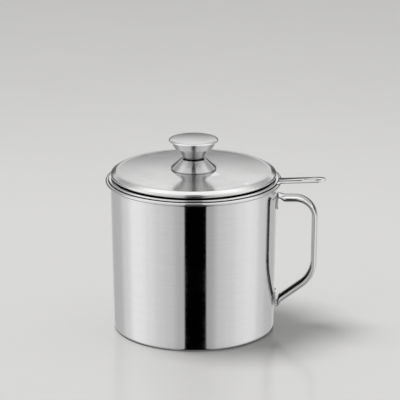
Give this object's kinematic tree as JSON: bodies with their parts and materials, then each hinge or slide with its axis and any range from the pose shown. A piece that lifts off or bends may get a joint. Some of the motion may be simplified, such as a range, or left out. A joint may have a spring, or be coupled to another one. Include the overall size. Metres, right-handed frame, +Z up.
{
  "type": "bacon grease container",
  "caption": "Round steel grease pot with a strap side handle, a lift-out strainer with a slotted tab, and a shallow lid with a trumpet-shaped knob.",
  "frame": {"origin": "middle of the pot's flat underside, where it rests on a table", "axes": "+Z up along the pot's axis, +X towards the strap handle, +Y across"},
  "size_m": [0.171, 0.1374, 0.1528],
  "materials": {
    "satin_steel": "stainless steel, fine turned satin over a near polish",
    "polished_steel": "stainless steel, polished, with faint spun lines",
    "plain_steel": "plain steel, as rolled or drawn"
  },
  "bodies": {
    "pot": {"pot_shell": "satin_steel", "handle_strip": "polished_steel"},
    "strainer": {"strainer_rim": "polished_steel", "strainer_mesh": "plain_steel", "mesh_clamp_ring": "polished_steel", "strainer_tab": "polished_steel"},
    "lid": {"lid_shell": "polished_steel", "knob_base": "polished_steel", "knob_stem": "polished_steel", "knob_cap": "polished_steel", "knob_insert": "plain_steel", "knob_screw": "plain_steel", "lock_washer": "plain_steel", "flat_washer": "plain_steel"}
  },
  "joints": [
    {"name": "strainer_lift", "type": "slide", "parent": "pot", "child": "strainer", "axis": [0, 0, 1], "range_m": [0, 0.06]},
    {"name": "lid_lift", "type": "slide", "parent": "strainer", "child": "lid", "axis": [0, 0, 1], "range_m": [0, 0.06]}
  ]
}
